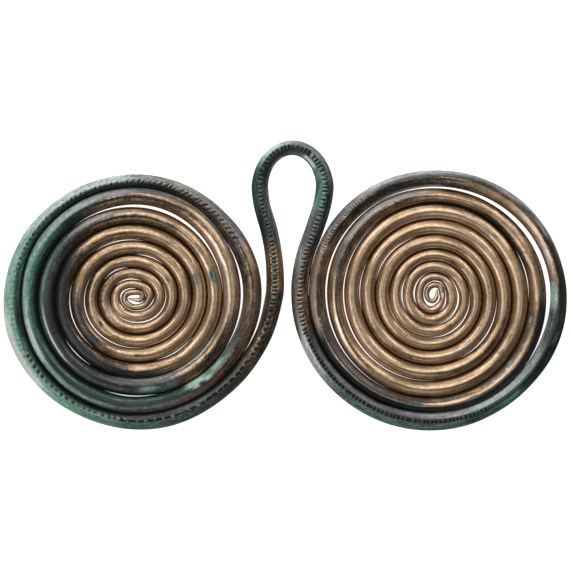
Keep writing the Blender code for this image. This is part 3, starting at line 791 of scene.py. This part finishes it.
# %% Dark lines along the crest
# Dark lines along the rod near its crest: from, to, place across, strength
LEFT_CREASES = (
    (5.06, 5.34, -0.12, 0.9), (5.68, 5.79, -0.10, 0.9), (6.04, 6.27, 0.04, 1.0),
    (6.60, 6.86, -0.22, 0.7), (6.93, 7.08, 0.0, 0.8), (1.36, 1.50, 0.3, 0.5),
)
RIGHT_CREASES = (
    (8.50, 8.14, 0.19, 1.0), (8.05, 7.92, 0.05, 1.0), (7.24, 7.14, 0.10, 0.7),
    (7.02, 6.86, -0.12, 0.9), (6.06, 5.94, 0.12, 0.8), (5.00, 4.90, 0.30, 0.7),
    (4.20, 4.14, 0.0, 0.7),
)
CREASE_FADE = 6.0           # mm over which a crease begins and ends
CREASE_MARGIN = 5.0         # mm beyond its ends that still have its place across

crease, crease_at = np.zeros(ring_count), np.zeros(ring_count)
for zone, creases in ((ON_LEFT, LEFT_CREASES), (ON_RIGHT, RIGHT_CREASES)):
    for start, end, place, strength in creases:
        first, last = stretch(zone, start, end)
        near = (skin_along > first - CREASE_MARGIN) & (skin_along < last + CREASE_MARGIN)
        crease_at[near] = place
        crease += strength * between(skin_along, first, last, CREASE_FADE)
print(len(LEFT_CREASES + RIGHT_CREASES), "creases")

# %% Numbers on the skin
WIDE_OPEN = 0.3             # mm of daylight at which a seam's edge gets the least painted shade and dirt
OPEN_SEAM_FADE = 0.8                 # the share of its painted shade and dirt that such a seam loses
RIGHT_OUTER_SEAM = 0.3      # on the right disc the outer edge of a turn gets little painted shade and dirt


def on_skin(values):
    """A number for each ring, continued over the tips."""
    return np.pad(values, TIP_RINGS, mode="edge")


skin_zone, skin_turn, skin_width = on_skin(zone_of), on_skin(turn), on_skin(width)
skin_across = np.tile(np.concatenate([across, under_across]), (ring_count, 1))
# How much painted seam shade and dirt each edge gets: most where the next turn lies close
shut = np.zeros((ring_count, corners))       # 1 where the next turn lies close against this one
for zone, disc, outer_seam in ((ON_LEFT, LEFT, 1.0), (ON_RIGHT, RIGHT, RIGHT_OUTER_SEAM)):
    inner, outer = (1 - OPEN_SEAM_FADE * np.clip(disc.daylight(skin_turn + further) / WIDE_OPEN, 0, 1)
                    for further in (0, 1))
    outer = outer * (skin_turn < disc.leave - 1) * outer_seam
    sides_shut = np.where(skin_across < 0, inner[:, None], outer[:, None])
    shut = np.where((skin_zone == zone)[:, None], sides_shut, shut)
measures = {
    "along": np.tile(skin_along[:, None], (1, corners)),
    "across": skin_across,
    "aside": skin_across * skin_width[:, None] / 2,
    "up": points[:, :, 2],
    "upper": points[:, :, 2] / on_skin(height)[:, None],
    "seam": shut,
    "crease": np.tile(crease[:, None], (1, corners)),
    "crease_at": np.tile(crease_at[:, None], (1, corners)),
    "cut": np.zeros((ring_count, corners)),
    "bar": np.zeros((ring_count, corners)),
    **paint,
}
for name, values in (("cut", cut_darkening), ("bar", bar)):
    measures[name][TIP_RINGS:-TIP_RINGS, :len(across)] = values
for name, values in measures.items():
    attribute = mesh.attributes.new(name, "FLOAT", "POINT")
    ends = [values[0].mean(), values[-1].mean()]
    attribute.data.foreach_set("value", np.concatenate([values.ravel(), ends]).astype(np.float32))
print("the skin carries", sorted(measures))

# %% [markdown]
# ## Shader maths
# A finish is a sum of masks: how much tarnish here, how much green there. Wiring each sum with
# nodes by hand is slow to read, so a small class wraps a socket and turns + - * / into Math nodes.
# Every other node comes from one method that sets its type, its settings and its sockets.

# %% Wires and finishes


class Wire:
    """The output socket of a node, ready for arithmetic."""

    def __init__(self, finish, socket):
        self.finish = finish
        self.socket = socket

    def maths(self, operation, first, second, clamp=False):
        return self.finish.node("ShaderNodeMath", {"operation": operation, "use_clamp": clamp},
                                {0: first, 1: second})

    def __add__(self, other):
        return self.maths("ADD", self, other)

    def __rsub__(self, other):
        return self.maths("SUBTRACT", other, self)

    def __sub__(self, other):
        return self.maths("SUBTRACT", self, other)

    def __mul__(self, other):
        return self.maths("MULTIPLY", self, other)

    def __truediv__(self, other):
        return self.maths("DIVIDE", self, other)

    def __abs__(self):
        return self.maths("ABSOLUTE", self, 0)

    __radd__ = __add__
    __rmul__ = __mul__

    def clamped(self):
        return self.maths("ADD", self, 0, clamp=True)

    def step_from(self, low, high):
        """0 below low and 1 above high, with a straight rise between them."""
        return ((self - low) / (high - low)).clamped()


class Finish:
    """A material whose nodes are being wired."""

    def __init__(self, name):
        self.material = bpy.data.materials.new(name)
        self.material.use_nodes = True
        self.nodes = self.material.node_tree.nodes
        self.shader = self.nodes["Principled BSDF"]
        self.base = Wire(self, self.shader.outputs[0])

    def node(self, kind, settings=(), sockets=(), output=0):
        made = self.nodes.new(kind)
        for name, value in dict(settings).items():
            if name == "stops":
                ramp = made.color_ramp.elements
                while len(ramp) < len(value):
                    ramp.new(1.0)
                for element, (place, colour) in zip(ramp, value):
                    element.position = place
                    element.color = (*colour, 1)
            else:
                setattr(made, name, value)
        self.feed(made, dict(sockets))
        return Wire(self, made.outputs[output])

    def feed(self, made, sockets):
        for name, value in sockets.items():
            if isinstance(value, Wire):
                self.material.node_tree.links.new(value.socket, made.inputs[name])
            else:
                made.inputs[name].default_value = value

    def number(self, name):
        """A number that the skin carries."""
        return self.node("ShaderNodeAttribute", {"attribute_name": name}, output="Fac")

    def mix(self, mask, first, second):
        """The first colour where the mask is 0 and the second where it is 1."""
        first, second = (c if isinstance(c, Wire) else (*c, 1) for c in (first, second))
        return self.node("ShaderNodeMix", {"data_type": "RGBA"},
                         {0: mask, 6: first, 7: second}, output=2)

    def ramp(self, at, stops):
        """The colour at a value, between (place, colour) stops."""
        return self.node("ShaderNodeValToRGB", {"stops": stops}, {"Fac": at})

    def grain(self, place, size, detail=3.0, roughness=0.55):
        """Cloudy noise from 0 to 1 with features of about that size in mm."""
        return self.node("ShaderNodeTexNoise", {"noise_dimensions": "3D"},
                         {"Vector": place, "Scale": 1 / size, "Detail": detail,
                          "Roughness": roughness}, output="Fac")


# %% [markdown]
# ## The finish of the bronze
# Old bronze isn't one colour. Bare metal is golden brown and lights up along the crest. Tarnish
# turns it brown and then black, and a dull crust of grey, green or chalky white lies over that. The
# seams get a darker paint that is painted shade together with dirt, the cuts are painted darker,
# and some pale strokes are painted highlights and glints. The numbers that were painted on the skin
# say where. Noise in several sizes, drawn out along the rod as the scratches of use are, breaks
# their edges and streaks what would otherwise be flat.

# %% Grain
bronze = Finish("old_bronze")
along_rod, aside_rod, up_rod, across_rod = map(bronze.number, ("along", "aside", "up", "across"))


def stretched(share):
    """A place on the rod for noise whose grain is drawn out along it."""
    return bronze.node("ShaderNodeCombineXYZ", (),
                       {"X": along_rod * share, "Y": aside_rod, "Z": up_rod})


cloud = bronze.grain(stretched(0.65), 2.8, detail=3.0)
mottle = bronze.grain(stretched(0.8), 0.9, detail=4.0)
patch = bronze.grain(stretched(0.6), 4.5, detail=5.0, roughness=0.6)
streak = bronze.grain(stretched(0.07), 0.75, detail=4.0, roughness=0.65)
hair = bronze.grain(stretched(0.04), 0.22, detail=2.0)
fine = bronze.grain(stretched(1.0), 0.30, detail=2.0)
rough_edge = (cloud - 0.5) * 0.6 + (mottle - 0.5) * 1.2 + (streak - 0.5) * 1.3 + (fine - 0.5) * 0.8
print("the grain takes", len(bronze.nodes), "nodes")

# %% Bare metal and tarnish
RAMP_START = -0.8           # the tarnish at the first stop; the last one is at 1
METAL_STOPS = (
    (0.00, (0.97, 0.90, 0.82)), (0.22, (0.84, 0.63, 0.45)), (0.444, (0.59, 0.365, 0.185)),
    (0.64, (0.32, 0.200, 0.105)), (0.806, (0.125, 0.083, 0.050)), (0.917, (0.043, 0.033, 0.024)),
    (1.00, (0.018, 0.018, 0.018)))
OLIVE, COPPER = (0.41, 0.29, 0.125), (0.64, 0.42, 0.28)     # thin films over the bare metal
PIT = (0.030, 0.018, 0.010)

tarnish = bronze.number("tarnish")
grain = ((streak - 0.5) * 1.2 + (cloud - 0.5) * 0.9 + (mottle - 0.5) * 1.1 + (hair - 0.5) * 0.7
         + (fine - 0.5) * 0.6)
uneven = tarnish + grain * (0.75 + (tarnish * (1 - tarnish)).clamped() * 2.0)
metal = bronze.ramp(uneven.step_from(RAMP_START, 1), METAL_STOPS)
film = 1 - uneven.clamped()
metal = bronze.mix(patch.step_from(0.50, 0.62) * film * 0.5, metal, OLIVE)
metal = bronze.mix(patch.step_from(0.46, 0.34) * film * 0.4, metal, COPPER)
pits = fine.step_from(0.62, 0.72) * mottle.step_from(0.46, 0.6)
metal = bronze.mix(pits * 0.85, metal, PIT)
print("with the metal", len(bronze.nodes), "nodes")

# %% The crust
# Its near-white last stop is the colour of the painted glints
GREY_STOPS = (
    (0.0, (0.008, 0.008, 0.008)), (0.14, (0.022, 0.018, 0.015)), (0.3, (0.060, 0.064, 0.066)),
    (0.52, (0.185, 0.178, 0.182)), (0.8, (0.48, 0.46, 0.455)), (1.0, (0.92, 0.89, 0.85)))
GREEN_STOPS = (
    (0.0, (0.004, 0.010, 0.010)), (0.13, (0.009, 0.024, 0.023)), (0.36, (0.036, 0.105, 0.090)),
    (0.62, (0.130, 0.345, 0.235)), (0.8, (0.32, 0.55, 0.43)), (1.0, (0.70, 0.88, 0.79)))

crust_light = bronze.number("light")
lightness = crust_light + (mottle - 0.5) * 0.55 + (streak - 0.5) * 0.6 + (hair - 0.5) * 0.5
green = bronze.number("green")
crust_colour = bronze.mix(green, bronze.ramp(lightness, GREY_STOPS),
                          bronze.ramp(lightness, GREEN_STOPS))
crust = bronze.number("crust")
covered = ((crust - 0.5 + rough_edge * 0.8) * 1.6 + 0.5).clamped() * crust.step_from(0, 0.15)
surface = bronze.mix(covered, metal, crust_colour)
print("with the crust", len(bronze.nodes), "nodes")

# %% Dark lines, darkened cuts and the painted seam shade with dirt
CREASE_WIDTH = 0.09         # in half widths, to each side
GREY_BAR, GREEN_BAR = (0.56, 0.48, 0.40), (0.46, 0.58, 0.50)
BROWN_SHADE_AND_DIRT = (0.052, 0.029, 0.010)
BLACK_SHADE_AND_DIRT, GREEN_SHADE_AND_DIRT = (0.016, 0.013, 0.010), (0.008, 0.021, 0.018)

off_crease = abs(across_rod - bronze.number("crease_at") + (cloud - 0.5) * 0.35)
creased = ((1 - off_crease / CREASE_WIDTH).clamped() * bronze.number("crease")
           * bronze.number("upper").step_from(0.4, 0.6) * mottle.step_from(0.35, 0.5))
# How dark the cuts are painted
cut_in = bronze.number("cut").step_from(0.12, 0.55)
# The pale bars between the cuts are partly a painted highlight on the ridges that catch the light
bar_tone_with_sheen = bronze.mix(green, GREY_BAR, GREEN_BAR)
surface = bronze.mix(bronze.number("bar") * mottle.step_from(0.3, 0.6), surface, bar_tone_with_sheen)
# The painted seam shade and dirt are weaker on polished metal and show little on a pale crust
keeps_shade_and_dirt = (1 - (tarnish * -3).clamped()) * (1 - covered * crust_light.step_from(0.4, 0.8) * 0.8)
# Painted shade, with dirt, along the edges where one turn lies close against the next
in_seam = abs(across_rod).step_from(0.64, 0.98) * bronze.number("seam") * keeps_shade_and_dirt
# All dark marks in one mask: the painted seam shade, the dark lines near the crest and the darkened
# cuts
shade_and_dirt = (in_seam * (0.9 + (streak - 0.5)) + creased * 0.9 + cut_in * 0.95).clamped()
# The colour of the painted shade and dirt: brown on metal, black or green under a crust
shade_and_dirt_tone = bronze.mix(covered, BROWN_SHADE_AND_DIRT, bronze.mix(green, BLACK_SHADE_AND_DIRT, GREEN_SHADE_AND_DIRT))
print("with the dirt", len(bronze.nodes), "nodes")

# %% Relief, gloss, and the shader of painted shade and grime
height_map = streak * 0.7 + hair * 0.25 + mottle * 0.35 * (0.6 + covered * 0.6) + cloud * 0.6
relief = bronze.node("ShaderNodeBump", (), {
    "Strength": 0.30, "Distance": 0.2 * METRE, "Height": height_map})
# Crust with a light above 1, which the painted glints have, is made partly metal so that it shines
dull = covered * (1 - crust_light.step_from(1.05, 1.5))    # the lightest crust is part polished
bronze.feed(bronze.shader, {
    "Base Color": surface,
    "Metallic": 1 - dull,
    "Roughness": 0.31 + (mottle - 0.5) * 0.15 + dull * (0.02 + crust_light * 0.25),
    "Specular IOR Level": 0.35,
    "Coat Weight": (0.95 - covered * 0.7) * (1 - uneven.clamped() * 0.7),
    "Coat Roughness": 0.13,
    "Coat IOR": 1.85,
    "Normal": relief,
})
# The painted shade and dirt have no gloss of their own, so they are a second shader laid over the
# first
shade_and_grime = bronze.node("ShaderNodeBsdfPrincipled", (), {
    "Base Color": shade_and_dirt_tone, "Roughness": 0.9, "Specular IOR Level": 0.1, "Normal": relief})
laid_over = bronze.node("ShaderNodeMixShader", (), {0: shade_and_dirt, 1: bronze.base, 2: shade_and_grime})
bronze.feed(bronze.nodes["Material Output"], {"Surface": laid_over})
mesh.materials.append(bronze.material)
print("the finish has", len(bronze.nodes), "nodes")

# %% [markdown]
# ## The floor, the light and the camera
# The brooch lies on plain white, lit softly from above and to one side, and the camera looks
# straight down on it from far away, so that nothing is foreshortened.

# %% The floor
FLOOR_SIZE = 8.0
floor_mesh = bpy.data.meshes.new("floor")
reach = FLOOR_SIZE / 2
floor_mesh.from_pydata([(-reach, -reach, 0), (reach, -reach, 0), (reach, reach, 0),
                        (-reach, reach, 0)], [], [(0, 1, 2, 3)])
floor = new_object("floor", floor_mesh)
paper = Finish("white_paper")
paper_grain = paper.grain(paper.node("ShaderNodeTexCoord", output="Object"), 0.02)
paper.feed(paper.shader, {
    "Base Color": paper.mix(paper_grain, (0.80, 0.80, 0.80), (0.84, 0.84, 0.84)),
    "Roughness": 0.9,
    "Emission Color": (1.0, 0.985, 0.95, 1),
    "Emission Strength": 1.0,
})
floor_mesh.materials.append(paper.material)
floor.visible_glossy = False                # or it would shine in the valleys between the turns
print("the floor is", FLOOR_SIZE, "m wide")

# %% The light
SUBJECT = np.array([0.0, 0.0, 0.004])
LIGHT_DISTANCE = 1.3
AMBIENT = 0.13
SOFTBOXES = (
    # (name, turned, tilt, size, power)
    ("key_above", 90, 30, (0.50, 0.85), 2.6),
    ("upper_left", 133, 46, (0.55, 0.60), 2.7),
    ("upper_right", 45, 52, (0.50, 0.70), 2.1),
    ("low_back", 105, 67, (0.80, 0.40), 1.4),
    ("left_high", 190, 27, (0.50, 0.50), 1.2),
    ("left_low", 215, 42, (0.55, 0.50), 1.4),
    ("front_fill", 270, 44, (0.50, 0.50), 0.45),
    ("right_fill", 0, 25, (0.50, 0.50), 0.5),
    ("overhead", 90, 8, (0.45, 0.45), 0.38),
)


def direction(turned, tilt):
    """A unit vector turned anticlockwise from +X and tilted that far from straight up."""
    turned, tilt = math.radians(turned), math.radians(tilt)
    return np.array([math.sin(tilt) * math.cos(turned), math.sin(tilt) * math.sin(turned),
                     math.cos(tilt)])


def softbox(name, turned, tilt, size, power):
    light = bpy.data.lights.new(name, "AREA")
    light.shape = "RECTANGLE"
    light.size, light.size_y = size
    light.energy = power
    lamp = new_object(name, light)
    towards = direction(turned, tilt)
    lamp.location = SUBJECT + towards * LIGHT_DISTANCE
    lamp.rotation_mode = "QUATERNION"
    lamp.rotation_quaternion = Vector(towards).to_track_quat("Z", "Y")
    lamp.visible_camera = False


for box in SOFTBOXES:
    softbox(*box)

world = bpy.data.worlds.new("studio")
bpy.context.scene.world = world
world.use_nodes = True
backdrop = world.node_tree.nodes["Background"]
backdrop.inputs["Color"].default_value = (1, 1, 1, 1)
backdrop.inputs["Strength"].default_value = AMBIENT
print(len(SOFTBOXES), "softboxes")

# %% The camera
FRAME_WIDTH = 0.201985      # metres across the view
AIM = (-0.00007, 0.00017)
LENS, SENSOR = 300.0, 36.0
EDGE_PLANE = 0.0026         # the height at which the rod is widest
camera = new_object("camera", bpy.data.cameras.new("camera"))
camera.data.lens = LENS
camera.data.sensor_width = SENSOR
camera.data.clip_end = 50
camera.location = (*AIM, EDGE_PLANE + FRAME_WIDTH * LENS / SENSOR)
bpy.context.scene.camera = camera
bpy.context.scene.view_settings.view_transform = "Standard"
print("the camera hangs", round(camera.location.z, 2), "m up and sees", FRAME_WIDTH, "m across")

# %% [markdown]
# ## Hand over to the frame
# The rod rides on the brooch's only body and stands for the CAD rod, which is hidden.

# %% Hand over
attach(rod, "root")
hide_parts("brooch_rod")
